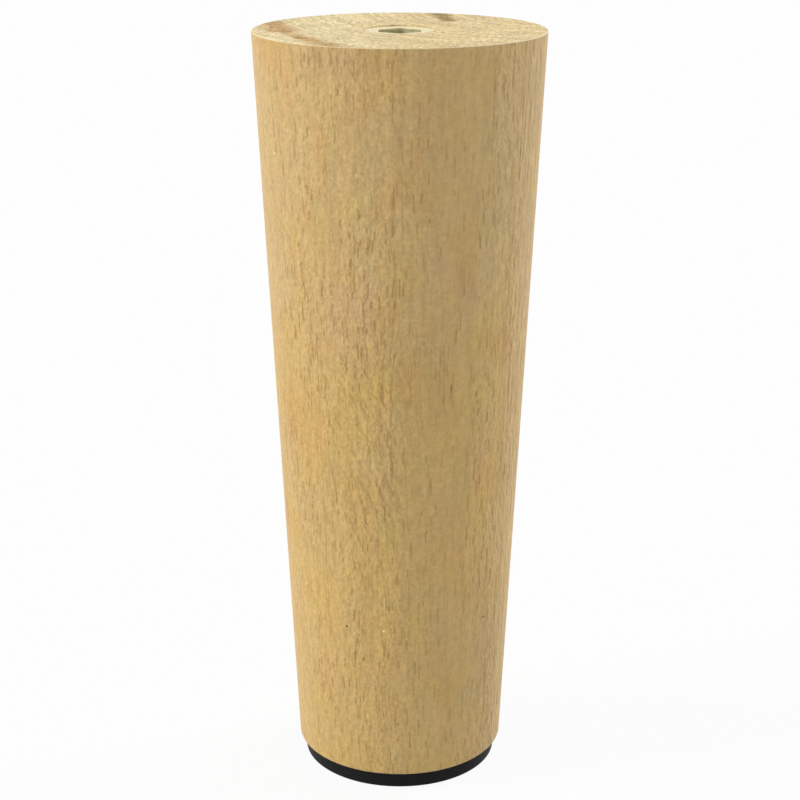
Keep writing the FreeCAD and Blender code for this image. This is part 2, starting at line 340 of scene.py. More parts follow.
def push(by):
    """Extrude the selected face along the axis of the leg."""
    bpy.ops.mesh.extrude_region_move(TRANSFORM_OT_translate={"value": (0.0, 0.0, by)})


def gather(share):
    """Draw the selected face in towards the axis of the leg, to that share of its width."""
    bpy.ops.transform.resize(value=(share, share, 1.0), center_override=(0.0, 0.0, 0.0))


def close_point():
    """Close the selected face into one point."""
    bpy.ops.mesh.merge(type="CENTER")


def soften(piece, height, radius, by, steps=3):
    """Round over the circular edge at a height and radius; with one step, chamfer it."""
    pick_ring(piece, height, radius)
    bpy.ops.mesh.bevel(offset=by, offset_type="OFFSET", segments=steps, profile=0.5,
                       affect="EDGES")


def carve(piece, tool, operation="DIFFERENCE"):
    """Cut a tool out of a piece, or join it on, and put the tool away."""
    take_up(piece)
    bpy.ops.object.modifier_add(type="BOOLEAN")
    cut = piece.modifiers[-1]
    cut.operation = operation
    cut.solver = "EXACT"
    cut.object = tool
    bpy.ops.object.modifier_apply(modifier=cut.name)
    bpy.data.objects.remove(tool)


def wind_ridge(name, root_radius, crest_radius, halves, low, pitch, run, steps=48):
    """A right-handed helical ridge: a plane shaped to the ridge's section and screwed upwards.

    halves are half its height at the root and at the crest, low is the middle of its lower end,
    run is how far it climbs, and steps are its corners in each turn.
    """
    lay_down_tools()
    root_half, crest_half = halves
    middle = (root_radius + crest_radius) / 2
    bpy.ops.mesh.primitive_plane_add(size=1.0, location=(0.0, middle, low),
                                     rotation=(0.0, math.pi / 2, 0.0))
    ridge = bpy.context.active_object
    ridge.scale = (2 * root_half, crest_radius - root_radius, 1.0)
    ridge = start_piece(name)
    pick(ridge, "EDGE", lambda edge: all(corner.co.y > middle for corner in edge.verts))
    bpy.ops.transform.resize(value=(1.0, 1.0, crest_half / root_half),
                             center_override=(0.0, crest_radius, low))
    bpy.ops.mesh.select_all(action="SELECT")
    bpy.ops.mesh.delete(type="ONLY_FACE")
    bpy.ops.object.mode_set(mode="OBJECT")
    bpy.ops.object.modifier_add(type="SCREW")
    screw = ridge.modifiers[-1]
    turns = run / pitch
    screw.axis = "Z"
    screw.angle = 2 * math.pi * turns
    screw.screw_offset = run
    screw.steps = screw.render_steps = round(steps * turns)
    screw.use_merge_vertices = False
    bpy.ops.object.modifier_apply(modifier=screw.name)
    bpy.ops.object.mode_set(mode="EDIT")
    bpy.ops.mesh.select_all(action="SELECT")
    bpy.ops.mesh.fill_holes(sides=4)
    bpy.ops.mesh.select_all(action="SELECT")
    bpy.ops.mesh.normals_make_consistent(inside=False)
    bpy.ops.object.mode_set(mode="OBJECT")
    return ridge


def finish_piece(piece, node, material, smooth_below=35.0):
    """Merge, turn the faces out, shade and finish a piece, and let it stand for its CAD node."""
    take_up(piece)
    bpy.ops.object.mode_set(mode="EDIT")
    bpy.ops.mesh.select_all(action="SELECT")
    bpy.ops.mesh.remove_doubles(threshold=0.001 * MM)
    bpy.ops.mesh.normals_make_consistent(inside=False)
    bpy.ops.object.mode_set(mode="OBJECT")
    bpy.ops.object.shade_smooth_by_angle(angle=math.radians(smooth_below))
    bpy.ops.object.modifier_add(type="WEIGHTED_NORMAL")
    piece.modifiers[-1].keep_sharp = True
    bpy.ops.object.modifier_apply(modifier=piece.modifiers[-1].name)
    piece.data.materials.clear()
    piece.data.materials.append(material)
    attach(piece, "root")
    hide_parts(node)
    lay_down_tools()


# Finishes

class Finish:
    """A procedural finish being put together: each call adds one step and gives back its result."""

    def __init__(self, holder):
        """Start on a new material or world."""
        self.holder = holder
        holder.use_nodes = True
        self.tree = holder.node_tree
        self.tree.nodes.clear()

    def node(self, kind, sockets=None, **settings):
        """Add a node, set its settings, and link or set its sockets."""
        node = self.tree.nodes.new(kind)
        for name, value in settings.items():
            setattr(node, name, value)
        for name, value in (sockets or {}).items():
            if isinstance(value, bpy.types.NodeSocket):
                self.tree.links.new(value, node.inputs[name])
            else:
                node.inputs[name].default_value = value
        return node

    def place_in_mm(self):
        """The point on the piece, in millimetres, in the frame of the leg."""
        point = self.node("ShaderNodeTexCoord").outputs["Object"]
        return self.times(point, MM_PER_METRE)

    def split(self, vector):
        """The three parts of a vector."""
        return self.node("ShaderNodeSeparateXYZ", {0: vector}).outputs[:]

    def join(self, x, y, z):
        """A vector of three parts."""
        return self.node("ShaderNodeCombineXYZ", {0: x, 1: y, 2: z}).outputs[0]

    def times(self, vector, by):
        """A vector or a colour times a number."""
        return self.node("ShaderNodeVectorMath", {0: vector, "Scale": by},
                         operation="SCALE").outputs[0]

    def vector(self, operation, first, second):
        """Vector arithmetic."""
        return self.node("ShaderNodeVectorMath", {0: first, 1: second},
                         operation=operation).outputs["Vector"]

    def measure(self, operation, first, second=(0.0, 0.0, 0.0)):
        """Vector arithmetic that gives a number, such as LENGTH or DOT_PRODUCT."""
        return self.node("ShaderNodeVectorMath", {0: first, 1: second},
                         operation=operation).outputs["Value"]

    def tint(self, paint, by):
        """A colour times a colour."""
        return self.vector("MULTIPLY", paint, by)

    def math(self, operation, first, second=0.0, third=0.0, clamp=False):
        """Arithmetic."""
        return self.node("ShaderNodeMath", {0: first, 1: second, 2: third}, operation=operation,
                         use_clamp=clamp).outputs[0]

    def add(self, first, second):
        """A sum."""
        return self.math("ADD", first, second)

    def multiply(self, first, second):
        """A product."""
        return self.math("MULTIPLY", first, second)

    def larger(self, first, second):
        """The larger of two numbers."""
        return self.math("MAXIMUM", first, second)

    def size_of(self, value):
        """A number without its sign."""
        return self.math("ABSOLUTE", value)

    def fade(self, value, low, high, to_low=0.0, to_high=1.0):
        """Go smoothly from to_low to to_high while value goes from low to high."""
        return self.node("ShaderNodeMapRange",
                         {"Value": value, "From Min": low, "From Max": high,
                          "To Min": to_low, "To Max": to_high},
                         interpolation_type="SMOOTHSTEP").outputs["Result"]

    def within(self, value, starts, whole, still_whole, ends):
        """1 between whole and still_whole, and smoothly down to 0 at starts and at ends."""
        return self.multiply(self.fade(value, starts, whole), self.fade(value, ends, still_whole))

    def noise(self, place, scale, detail=2.0, roughness=0.5):
        """Smooth noise about one half."""
        return self.node("ShaderNodeTexNoise",
                         {"Vector": place, "Scale": scale, "Detail": detail,
                          "Roughness": roughness}).outputs[0]

    def drift(self, place, scale, by):
        """The place, moved about by smooth noise of up to about that many millimetres."""
        shift = self.node("ShaderNodeTexNoise",
                          {"Vector": place, "Scale": scale, "Detail": 1.0}).outputs["Color"]
        centred = self.vector("SUBTRACT", shift, (0.5, 0.5, 0.5))
        return self.vector("ADD", place, self.times(centred, 2 * by))

    def blend(self, share, first, second):
        """Colour between first and second."""
        return self.node("ShaderNodeMix", {0: share, 6: first, 7: second},
                         data_type="RGBA").outputs[2]

    def from_line(self, place, start, end):
        """Distance of the place from a straight stroke."""
        reach = tuple(b - a for a, b in zip(start, end))
        whole = sum(part * part for part in reach)
        offset = self.vector("SUBTRACT", place, start)
        share = self.math("DIVIDE", self.measure("DOT_PRODUCT", offset, reach), whole, clamp=True)
        along = self.times(self.join(*reach), share)
        return self.measure("LENGTH", self.vector("SUBTRACT", offset, along))

    def surface(self, relief, relief_depth, sockets):
        """End the finish in a principled shader with a bump of that depth in metres."""
        bump = self.node("ShaderNodeBump", {"Height": relief, "Distance": relief_depth,
                                            "Strength": 1.0})
        shader = self.node("ShaderNodeBsdfPrincipled",
                           dict(sockets, Normal=bump.outputs["Normal"]))
        self.node("ShaderNodeOutputMaterial", {"Surface": shader.outputs[0]})
        return self.holder

    def seen_directly(self):
        """1 for a ray of the camera, also by way of metal or glass, and 0 for one of the light."""
        rays = self.node("ShaderNodeLightPath").outputs
        return self.larger(rays["Is Camera Ray"],
                           self.larger(rays["Is Glossy Ray"], rays["Is Transmission Ray"]))


def opaque(rgb):
    """A property's colour with full opacity."""
    return (*rgb, 1.0)


def on_skin(turn, height):
    """A place on the turned skin, from degrees round the leg and a height in mm."""
    return (turn * SKIN_MM_PER_DEGREE, height, 0.0)


class WoodFinish(Finish):
    """Pale open-pored hardwood under a thin clear coat.

    turn is in degrees round from the front, around is that in mm along the skin, and x, y and z
    are mm in the frame of the leg. The fibres run along z.
    """

    def __init__(self, settings):
        super().__init__(bpy.data.materials.new("clear_coated_pale_wood"))
        self.settings = settings
        self.x, self.y, self.z = self.split(self.place_in_mm())
        angle = self.math("ARCTAN2", self.x, self.multiply(self.y, -1.0))
        self.turn = self.math("DEGREES", angle)
        self.around = self.multiply(self.turn, SKIN_MM_PER_DEGREE)
        self.skin = self.join(self.around, self.z, 0.0)
        # The fibres wander a little on their way along the leg
        pressed = self.join(self.x, self.y, self.multiply(self.z, FIBRE_PRESS))
        wander = self.drift(pressed, 0.11, 0.5)
        self.grain_x, self.grain_y, self.grain_z = self.split(wander)
        # One patch left of the middle is curly, and the right side has coarse streaks
        self.curly = self.multiply(self.within(self.turn, -42.0, -30.0, -4.0, 4.0),
                                   self.within(self.z, 52.0, 60.0, 86.0, 96.0))
        self.at_right = self.within(self.turn, 46.0, 60.0, 100.0, 130.0)
        self.cloud = self.fade(self.noise(self.grain(2.5), 0.14), 0.35, 0.65)
        self.crowd = self.pore_crowding()
        self.fibres = self.noise(self.grain(7.0), 2.2, 2.0, 0.6)
        self.grit = self.noise(self.grain(1.6), 0.75, 2.0, 0.55)
        self.coarse = self.noise(self.grain(9.0), 1.0)
        self.gaps = self.fade(self.noise(self.grain(2.0), 0.9), 0.42, 0.52)
        wobble = self.math("SUBTRACT", self.noise(self.grain(3.0), 0.8, 3.0), 0.5)
        self.wavy = self.add(self.around, self.multiply(wobble, 0.9))

    def grain(self, draw_out):
        """The place with the grain drawn out that many times along the leg."""
        return self.join(self.grain_x, self.grain_y,
                         self.math("DIVIDE", self.grain_z, FIBRE_PRESS * draw_out))

    def pore_crowding(self):
        """How closely pores and loose fibres stand: most left of the middle and at the right."""
        left_band = self.multiply(self.fade(self.turn, -70.0, -44.0, 0.5, 1.0),
                                  self.fade(self.turn, 8.0, -6.0))
        right_band = self.fade(self.turn, 26.0, 40.0, 0.0, 0.85)
        far_side = self.fade(self.size_of(self.turn), 80.0, 110.0, 0.0, 0.85)
        banded = self.larger(self.larger(left_band, right_band), far_side)
        crowd = self.multiply(self.fade(banded, 0.0, 1.0, 0.35, 1.0),
                              self.fade(self.cloud, 0.0, 1.0, 0.4, 1.0))
        # Fewer near the top and in the curly patch
        crowd = self.multiply(crowd, self.fade(self.z, 98.0, 120.0, 1.0, 0.7))
        return self.multiply(crowd, self.fade(self.curly, 0.0, 1.0, 1.0, 0.6))

    def strokes(self, pitch, tallness, width, tall, lean, apart):
        """A layer of scattered upright strokes on the turned skin: 1 on a stroke, 0 off it."""
        place = self.join(self.add(self.math("DIVIDE", self.wavy, pitch), apart),
                          self.add(self.math("DIVIDE", self.z, pitch * tallness), apart), 0.0)
        scattered = self.node("ShaderNodeTexVoronoi", {"Vector": place, "Scale": 1.0},
                              voronoi_dimensions="2D").outputs
        off_x, off_z, _ = self.split(self.vector("SUBTRACT", place, scattered["Position"]))
        dice = self.split(scattered["Color"])
        rise = self.multiply(off_z, pitch * tallness)
        slope = self.fade(dice[0], 0.0, 1.0, -lean, lean)
        aside = self.math("MULTIPLY_ADD", off_x, pitch, self.multiply(rise, slope))
        wide = self.fade(dice[1], 0.0, 1.0, 0.5 * width, width)
        high = self.fade(dice[2], 0.0, 1.0, 0.2 * tall, tall)
        over = self.fade(self.math("DIVIDE", self.size_of(aside), wide), 0.2, 1.3, 1.0, 0.0)
        ends = self.fade(self.math("DIVIDE", self.size_of(rise), high), 0.6, 1.0, 1.0, 0.0)
        return self.multiply(over, ends)

    def soft_patches(self):
        """Ground colour of the side grain, in soft patches and listed stains, with painted shade
        and painted sheen among them.
        """
        settings = self.settings
        patches = self.fade(self.noise(self.grain(2.0), 0.12, 2.0, 0.55), 0.3, 0.7)
        patches = self.math("MULTIPLY_ADD", patches, 0.6,
                            self.fade(self.z, 86.0, 104.0, 0.0, 0.6))
        ground = self.blend(patches, opaque(settings.honey_tan), opaque(settings.pale_tan))
        blush = self.fade(self.noise(self.grain(3.0), 0.20), 0.45, 0.7, 0.0, 0.6)
        ground = self.blend(blush, ground, opaque(settings.pink_tan))
        straw = self.fade(self.noise(self.grain(1.6), 0.13, 2.0, 0.55), 0.45, 0.72, 0.0, 0.35)
        ground = self.blend(straw, ground, opaque(settings.straw_tan))
        # Stains, and painted shade and painted sheen at the right
        for turn, height, wide, tall, tint, share in SIDE_STAINS_SHADE_AND_SHEEN:
            offset = self.vector("SUBTRACT", self.skin, on_skin(turn, height))
            reach = self.vector("MULTIPLY", offset, (1.0 / wide, 1.0 / tall, 0.0))
            ragged = self.multiply(self.noise(self.grain(2.0), 0.35, 3.0), 1.6)
            edge = self.add(self.measure("LENGTH", reach), ragged)
            ground = self.blend(self.fade(edge, 1.0, 2.3, share, 0.0), ground,
                                self.tint(ground, tint))
        return ground

    def streaked(self, ground):
        """The ground colour with streaks, fibres and grit, and coarse streaks at the right."""
        streaks = self.noise(self.grain(18.0), 0.7, 3.0, 0.6)
        speckle = self.noise(self.grain(0.8), 1.15)
        # The speckle is weaker on the right side
        calm = self.larger(self.fade(self.turn, 0.0, 25.0, 1.0, 0.55),
                           self.fade(self.turn, 110.0, 150.0, 0.0, 1.0))
        ground = self.times(ground, self.fade(streaks, 0.25, 0.75, 0.94, 1.06))
        ground = self.times(ground, self.fade(self.fibres, 0.2, 0.8, 0.96, 1.04))
        ground = self.times(ground, self.fade(self.grit, 0.2, 0.8, 0.94, 1.06))
        ground = self.times(ground, self.math("MULTIPLY_ADD", calm,
                                              self.fade(speckle, 0.2, 0.8, -0.11, 0.11), 1.0))
        share = self.multiply(self.at_right, self.fade(self.coarse, 0.45, 0.62, 0.5, 0.0))
        return self.blend(share, ground, opaque(self.settings.streak_brown))

    def open_pores(self):
        """Thin dashes all over, bolder ones where they crowd, and a few long lines: 1 on a pore."""
        thin = self.multiply(self.strokes(*THIN_PORES),
                             self.fade(self.z, 98.0, 120.0, 0.4, 0.25))
        ragged = self.fade(self.noise(self.grain(2.2), 1.5), 0.34, 0.48)
        bold = self.multiply(self.strokes(*BOLD_PORES), ragged)
        sparse = self.multiply(self.strokes(*SPARSE_PORES),
                               self.fade(self.cloud, 0.0, 1.0, 0.35, 0.75))
        dark = self.larger(self.multiply(self.larger(thin, bold), self.crowd), sparse)
        dark = self.larger(dark, self.multiply(self.strokes(*LONG_PORES),
                                               self.multiply(self.gaps, 0.5)))
        marked = self.join(self.wavy, self.z, 0.0)
        broken = self.larger(self.gaps, 0.4)
        for turn, top, lower, wide, depth in SIDE_LINES:
            away = self.from_line(marked, on_skin(turn, top), on_skin(turn, lower))
            line = self.fade(away, 0.5 * wide, wide, depth, 0.0)
            dark = self.larger(dark, self.multiply(line, broken))
        return dark

    def lifted_fibres(self):
        """Fibres that stand a little proud of the turned skin: 1 on a fibre."""
        return self.multiply(self.strokes(*LIFTED_FIBRES), self.crowd)

    def curls(self):
        """Short ridges that lean across the grain in the curly patch."""
        slanting = self.join(self.math("MULTIPLY_ADD", self.z, 0.4, self.wavy),
                             self.multiply(self.z, 0.5), 0.0)
        slanting = self.drift(slanting, 0.35, 1.1)
        return self.multiply(self.fade(self.noise(slanting, 0.6), 0.25, 0.75), self.curly)

    def spotted(self, ground):
        """The side grain with its pin knots and pale nicks."""
        for places, paint in ((PIN_KNOTS, KNOT_BLACK), (PALE_NICKS, NICK_CREAM)):
            for turn, height in places:
                away = self.measure("DISTANCE", self.skin, on_skin(turn, height))
                share = self.fade(away, 0.5 * SPOT_RADIUS, SPOT_RADIUS, 1.0, 0.0)
                ground = self.blend(share, ground, paint)
        return ground

    def end_grain(self):
        """Rings about a far centre, crisp flecks, pore dots and mineral streaks.

        Gives back the colour of the end faces and their relief.
        """
        face = self.join(self.x, self.y, 0.0)
        flat = self.drift(face, 0.25, 0.6)
        flat_x, flat_y, _ = self.split(flat)
        # Flecks and rings, then broad light and dark, cool on the left and warm on the right
        flecks = self.noise(self.join(flat_x, self.multiply(flat_y, 0.6), 0.0), 1.3, 4.0, 0.6)
        from_pith = self.measure("LENGTH", self.vector("SUBTRACT", flat, PITH))
        rings = self.noise(self.join(from_pith, 0.0, 0.0), 0.6, 3.0, 0.6)
        crisp = self.add(flecks, self.fade(rings, 0.3, 0.7, -0.05, 0.05))
        end = self.blend(self.fade(crisp, 0.31, 0.63), opaque(self.settings.end_tan),
                         opaque(self.settings.end_cream))
        end = self.times(end, self.fade(rings, 0.3, 0.7, 0.88, 1.07))
        end = self.times(end, self.fade(self.noise(flat, 0.16), 0.35, 0.65, 0.90, 1.08))
        drifting = self.math("MULTIPLY_ADD", self.noise(flat, 0.12), 30.0, flat_x)
        warm = self.fade(drifting, 2.0, 18.0)
        end = self.blend(warm, self.tint(end, COOL_END), self.tint(end, WARM_END))
        spread = self.node("ShaderNodeTexVoronoi", {"Vector": face, "Scale": 1.1})
        dots = self.fade(spread.outputs["Distance"], 0.10, 0.22, 1.0, 0.0)
        end = self.blend(self.multiply(dots, 0.5), end, opaque(self.settings.pore_brown))
        # Mineral streaks with uneven edges
        uneven = self.multiply(self.math("SUBTRACT", self.noise(flat, 0.5, 4.0, 0.7), 0.5), 6.0)
        for start, finish, width, tint, share in END_STREAKS:
            away = self.add(self.from_line(face, start, finish), uneven)
            stain = self.fade(away, 0.2 * width, 1.3 * width, share, 0.0)
            end = self.blend(stain, end, self.tint(end, tint))
        return end, self.math("SUBTRACT", self.multiply(flecks, 1.5), dots)

    def side_relief(self, dark, lifted):
        """Relief of the side grain: pores sink in, fibres, grit and curls stand out."""
        rise = self.math("MULTIPLY_ADD", lifted, 0.2, self.multiply(self.curls(), 1.3))
        rise = self.add(rise, self.multiply(dark, -0.15))
        rise = self.add(rise, self.multiply(self.fibres, 0.15))
        rise = self.add(rise, self.multiply(self.grit,
                                            self.fade(self.crowd, 0.0, 1.0, 1.1, 2.5)))
        return self.add(rise, self.multiply(self.coarse, self.multiply(self.at_right, 2.0)))


def wood_finish(settings):
    """Side grain on the turned skin and end grain on the faces that look along the leg."""
    wood = WoodFinish(settings)
    dark = wood.open_pores()
    lifted = wood.lifted_fibres()
    ground = wood.streaked(wood.soft_patches())
    # Lifted fibres painted paler: partly their own colour, partly a painted sheen
    ground = wood.blend(wood.multiply(lifted, 0.3), ground, opaque(settings.fibre_cream_and_sheen))
    ground = wood.blend(wood.multiply(dark, 0.65), ground, opaque(settings.pore_brown))
    ground = wood.spotted(ground)
    end, end_relief = wood.end_grain()

    # End grain shows on what looks along the leg and in the recess; the upper rim's chamfer gets a
    # painted highlight in end cream
    facing = wood.split(wood.node("ShaderNodeTexCoord").outputs["Normal"])[2]
    from_axis = wood.measure("LENGTH", wood.join(wood.x, wood.y, 0.0))
    on_end = wood.larger(wood.fade(wood.size_of(facing), 0.55, 0.85),
                         wood.fade(from_axis, 7.5, 9.0, 1.0, 0.0))
    # Painted highlight on the upper rim's chamfer
    rim_painted_highlight = wood.multiply(wood.fade(facing, 0.15, 0.4, 0.0, 0.85),
                           wood.fade(facing, 0.9, 0.98, 1.0, 0.0))
    paint = wood.blend(on_end, ground, end)
    paint = wood.blend(rim_painted_highlight, paint, opaque(settings.end_cream))
    relief = wood.node("ShaderNodeMix", {0: on_end, 2: wood.side_relief(dark, lifted),
                                         3: end_relief}).outputs[0]
    rough = wood.larger(wood.fade(wood.fibres, 0.2, 0.8, 0.42, 0.58), wood.multiply(on_end, 0.85))
    return wood.surface(relief, 0.22 * MM, {"Base Color": paint, "Roughness": rough,
                                            "Specular IOR Level": 0.5})


def cast_zinc_finish(settings):
    """Pale satin zinc with a fine cast grain and faint turning rings, darker and greener down in
    the socket as painted shade.
    """
    zinc = Finish(bpy.data.materials.new("pale_cast_zinc"))
    place = zinc.place_in_mm()
    x, y, z = zinc.split(place)
    from_axis = zinc.measure("LENGTH", zinc.join(x, y, 0.0))
    grain = zinc.noise(place, 3.0, 3.0, 0.6)
    turning = zinc.noise(zinc.join(from_axis, 0.0, zinc.multiply(z, 0.2)), 7.0)
    face = INSERT_HIGH.z * MM_PER_METRE
    # Painted shade: the socket darker and greener below its mouth
    at_face = zinc.fade(z, face - 0.45, face - 0.13)
    paint = zinc.blend(at_face, opaque(settings.shaded_socket_metal), opaque(settings.bare_metal))
    paint = zinc.times(paint, zinc.fade(grain, 0.25, 0.75, 0.92, 1.05))
    rough = zinc.fade(zinc.noise(place, 1.2), 0.3, 0.7, 0.36, 0.52)
    relief = zinc.add(grain, zinc.multiply(turning, 0.8))
    return zinc.surface(relief, 0.02 * MM, {"Base Color": paint, "Roughness": rough,
                                            "Metallic": 1.0})


def black_plastic_finish(settings):
    """Moulded black plastic with a fine grain and a few scuffs."""
    plastic = Finish(bpy.data.materials.new("moulded_black_plastic"))
    place = plastic.place_in_mm()
    grain = plastic.noise(place, 5.0, 2.0, 0.6)
    scuffs = plastic.fade(plastic.noise(place, 0.35, 4.0, 0.7), 0.5, 0.8)
    paint = plastic.blend(plastic.multiply(scuffs, 0.25), opaque(settings.plastic), SCUFF_GREY)
    rough = plastic.fade(grain, 0.3, 0.7, 0.52, 0.68)
    return plastic.surface(grain, 0.03 * MM, {"Base Color": paint, "Roughness": rough,
                                              "Specular IOR Level": 0.12})


def plated_steel_finish(settings):
    """Bright zinc plating with a slight unevenness."""
    steel = Finish(bpy.data.materials.new("zinc_plated_steel"))
    cloud = steel.noise(steel.place_in_mm(), 1.5, 3.0, 0.6)
    paint = steel.times(settings.steel, steel.fade(cloud, 0.3, 0.7, 0.9, 1.05))
    rough = steel.fade(cloud, 0.3, 0.7, 0.24, 0.4)
    return steel.surface(cloud, 0.01 * MM, {"Base Color": paint, "Roughness": rough,
                                            "Metallic": 1.0})


# Pieces

class LEG_OT_turn_wood(bpy.types.Operator):
    """Turn the tapered wooden body, with the insert's threaded hole and the screw's pilot hole"""

    bl_idname = "furniture_leg.turn_wood"
    bl_label = "Turn the wood"

    def execute(self, context):
        settings = context.scene.leg_wood
        insert = context.scene.leg_insert
        foot, top = WOOD_LOW.z, WOOD_HIGH.z
        foot_radius, top_radius = settings.foot_width / 2, settings.top_width / 2
        recess_radius, bore_radius = settings.recess_width / 2, settings.bore_width / 2
        pilot_radius = settings.pilot_width / 2
        seat = top - settings.recess_depth
        bore_floor = INSERT_LOW.z - settings.free_depth
        lay_down_tools()
        bpy.ops.mesh.primitive_cone_add(vertices=RIM_STEPS, radius1=foot_radius,
                                        radius2=top_radius, depth=top - foot,
                                        location=(0.0, 0.0, (foot + top) / 2))
        leg = start_piece("turned_wood_leg")
        pick_end(leg, top)
        draw_in(top_radius - recess_radius)
        push(-settings.recess_depth)
        draw_in(recess_radius - bore_radius)
        push(bore_floor - seat)
        push(-bore_radius / math.tan(DRILL_POINT / 2))
        close_point()
        pick_end(leg, foot, up=False)
        draw_in(foot_radius - pilot_radius)
        push(settings.pilot_depth)
        push(pilot_radius / math.tan(DRILL_POINT / 2))
        close_point()
        soften(leg, top, top_radius, settings.top_edge)
        soften(leg, foot, foot_radius, settings.foot_edge)
        soften(leg, top, recess_radius, settings.recess_edge, 2)
        # The groove has some play, and runs on for a pitch past each end of the insert's ridge
        play, pitch = insert.thread_play, insert.coarse_pitch
        groove = wind_ridge("thread_groove", root_radius=insert.core_width / 2 - RIDGE_SINK,
                            crest_radius=insert.crest_width / 2 + play,
                            halves=[half + play for half in COARSE_HALVES],
                            low=INSERT_LOW.z + insert.thread_start - pitch, pitch=pitch,
                            run=insert.thread_run + 2 * pitch)
        carve(leg, groove)
        finish_piece(leg, "leg_body", wood_finish(settings), 30.0)
        return {"FINISHED"}


class LEG_OT_make_insert(bpy.types.Operator):
    """Make the threaded insert: flange, core, coarse thread, hexagon socket and metric thread"""

    bl_idname = "furniture_leg.make_insert"
    bl_label = "Make the insert"

    def execute(self, context):
        settings = context.scene.leg_insert
        tip, face = INSERT_LOW.z, INSERT_HIGH.z
        core_radius, flange_radius = settings.core_width / 2, settings.flange_width / 2
        hex_floor = face - settings.hex_depth
        bolt_radius = settings.bolt_width / 2
        seat = face - settings.flange_thickness
        insert = stand_cylinder("hex_drive_insert", flange_radius, seat, face, corners=128)
        pick_end(insert, seat, up=False)
        draw_in(flange_radius - core_radius)
        push(tip - seat)
        soften(insert, tip, core_radius, settings.tip_chamfer, 1)
        soften(insert, face, flange_radius, settings.flange_edge)
        ridge = wind_ridge("coarse_ridge", root_radius=core_radius - RIDGE_SINK,
                           crest_radius=settings.crest_width / 2, halves=COARSE_HALVES,
                           low=tip + settings.thread_start, pitch=settings.coarse_pitch,
                           run=settings.thread_run)
        carve(insert, ridge, "UNION")

        bore_radius = bolt_radius - METRIC_THREAD_DEPTH * settings.bolt_pitch
        carve(insert, stand_cylinder("bore_drill", bore_radius, tip - OVERCUT,
                                     hex_floor + OVERCUT))
        self.broach_hexagon(insert, settings, hex_floor, face)
        pitch = settings.bolt_pitch
        tap = wind_ridge("metric_tap", root_radius=TAP_ROOT_RADIUS, crest_radius=bolt_radius,
                         halves=METRIC_HALVES, low=tip - pitch, pitch=pitch,
                         run=hex_floor - tip + 2 * pitch, steps=40)
        carve(insert, tap)
        finish_piece(insert, "threaded_insert", cast_zinc_finish(settings))
        return {"FINISHED"}

    def broach_hexagon(self, insert, settings, hex_floor, face):
        """Cut the hexagon socket, with two flats facing +X and -X, and chamfer its mouth."""
        over_corners = settings.hex_width / math.cos(math.pi / 6)
        broach = stand_cylinder("hexagon_broach", over_corners / 2, hex_floor, face + MM, corners=6)
        pick(broach, "EDGE", lambda edge: abs(edge.verts[0].co.z - edge.verts[1].co.z) > MM)
        bpy.ops.mesh.bevel(offset=settings.hex_corner, segments=3, affect="EDGES")
        carve(insert, broach)
        # The mouth's corners lie within 0.6 of the hexagon's width, the flange's rim beyond
        pick(insert, "EDGE", lambda edge: all(
            abs(corner.co.z - face) < CLOSE
            and math.hypot(corner.co.x, corner.co.y) < 0.6 * settings.hex_width
            for corner in edge.verts))
        bpy.ops.mesh.bevel(offset=settings.hex_chamfer, segments=1, affect="EDGES")


class LEG_OT_mould_glide(bpy.types.Operator):
    """Mould the plastic glide with its countersunk hole"""

    bl_idname = "furniture_leg.mould_glide"
    bl_label = "Mould the glide"

    def execute(self, context):
        settings = context.scene.leg_glide
        low, high = GLIDE_LOW.z, GLIDE_HIGH.z
        radius, hole = settings.width / 2, settings.hole_width / 2
        mouth = settings.sink_width / 2
        glide = stand_cylinder("plastic_glide", radius, low, high, corners=RIM_STEPS)
        pick_end(glide, low, up=False)
        draw_in(radius - mouth)
        push(settings.sink_rim)
        push(mouth - hole)
        gather(hole / mouth)
        carve(glide, stand_cylinder("hole_drill", hole, low - OVERCUT, high + OVERCUT))
        soften(glide, low, radius, settings.lower_edge)
        soften(glide, high, radius, settings.upper_edge, 2)
        finish_piece(glide, "glide", black_plastic_finish(settings))
        return {"FINISHED"}


class LEG_OT_drive_screw(bpy.types.Operator):
    """Make the countersunk screw that holds the glide, with its cross recess and its thread"""

    bl_idname = "furniture_leg.drive_screw"
    bl_label = "Drive the screw"

    def execute(self, context):
        settings = context.scene.leg_glide
        head_face, tip = SCREW_LOW.z, SCREW_HIGH.z
        head, shank = settings.head_width / 2, settings.shank_width / 2
        core = shank - settings.thread_depth
        rim, neck, plain = settings.head_rim, head - shank, settings.plain_shank
        thread_low = head_face + rim + neck + plain
        screw = stand_cylinder("countersunk_screw", head, head_face, head_face + rim)
        pick_end(screw, head_face + rim)
        push(neck)
        gather(shank / head)
        push(plain)
        draw_in(shank - core)
        push(tip - settings.point_length - thread_low)
        push(settings.point_length)
        close_point()
        soften(screw, head_face, head, settings.head_edge, 2)
        thread = wind_ridge("wood_thread", root_radius=core - RIDGE_SINK, crest_radius=shank,
                            halves=SCREW_HALVES, low=thread_low + settings.lead_in,
                            pitch=settings.screw_pitch, run=settings.screw_run, steps=32)
        carve(screw, thread, "UNION")
        for wide, long in ((settings.cross_span, settings.cross_arm),
                           (settings.cross_arm, settings.cross_span)):
            lay_down_tools()
            bpy.ops.mesh.primitive_cube_add(size=1.0, location=(0.0, 0.0, head_face))
            bpy.context.active_object.scale = (wide, long, 2 * settings.cross_depth)
            arm = start_piece("cross_driver")
            pick_end(arm, head_face + settings.cross_depth)
            gather(CROSS_TAPER)
            carve(screw, arm)
        finish_piece(screw, "glide_screw", plated_steel_finish(settings))
        return {"FINISHED"}


# Stage

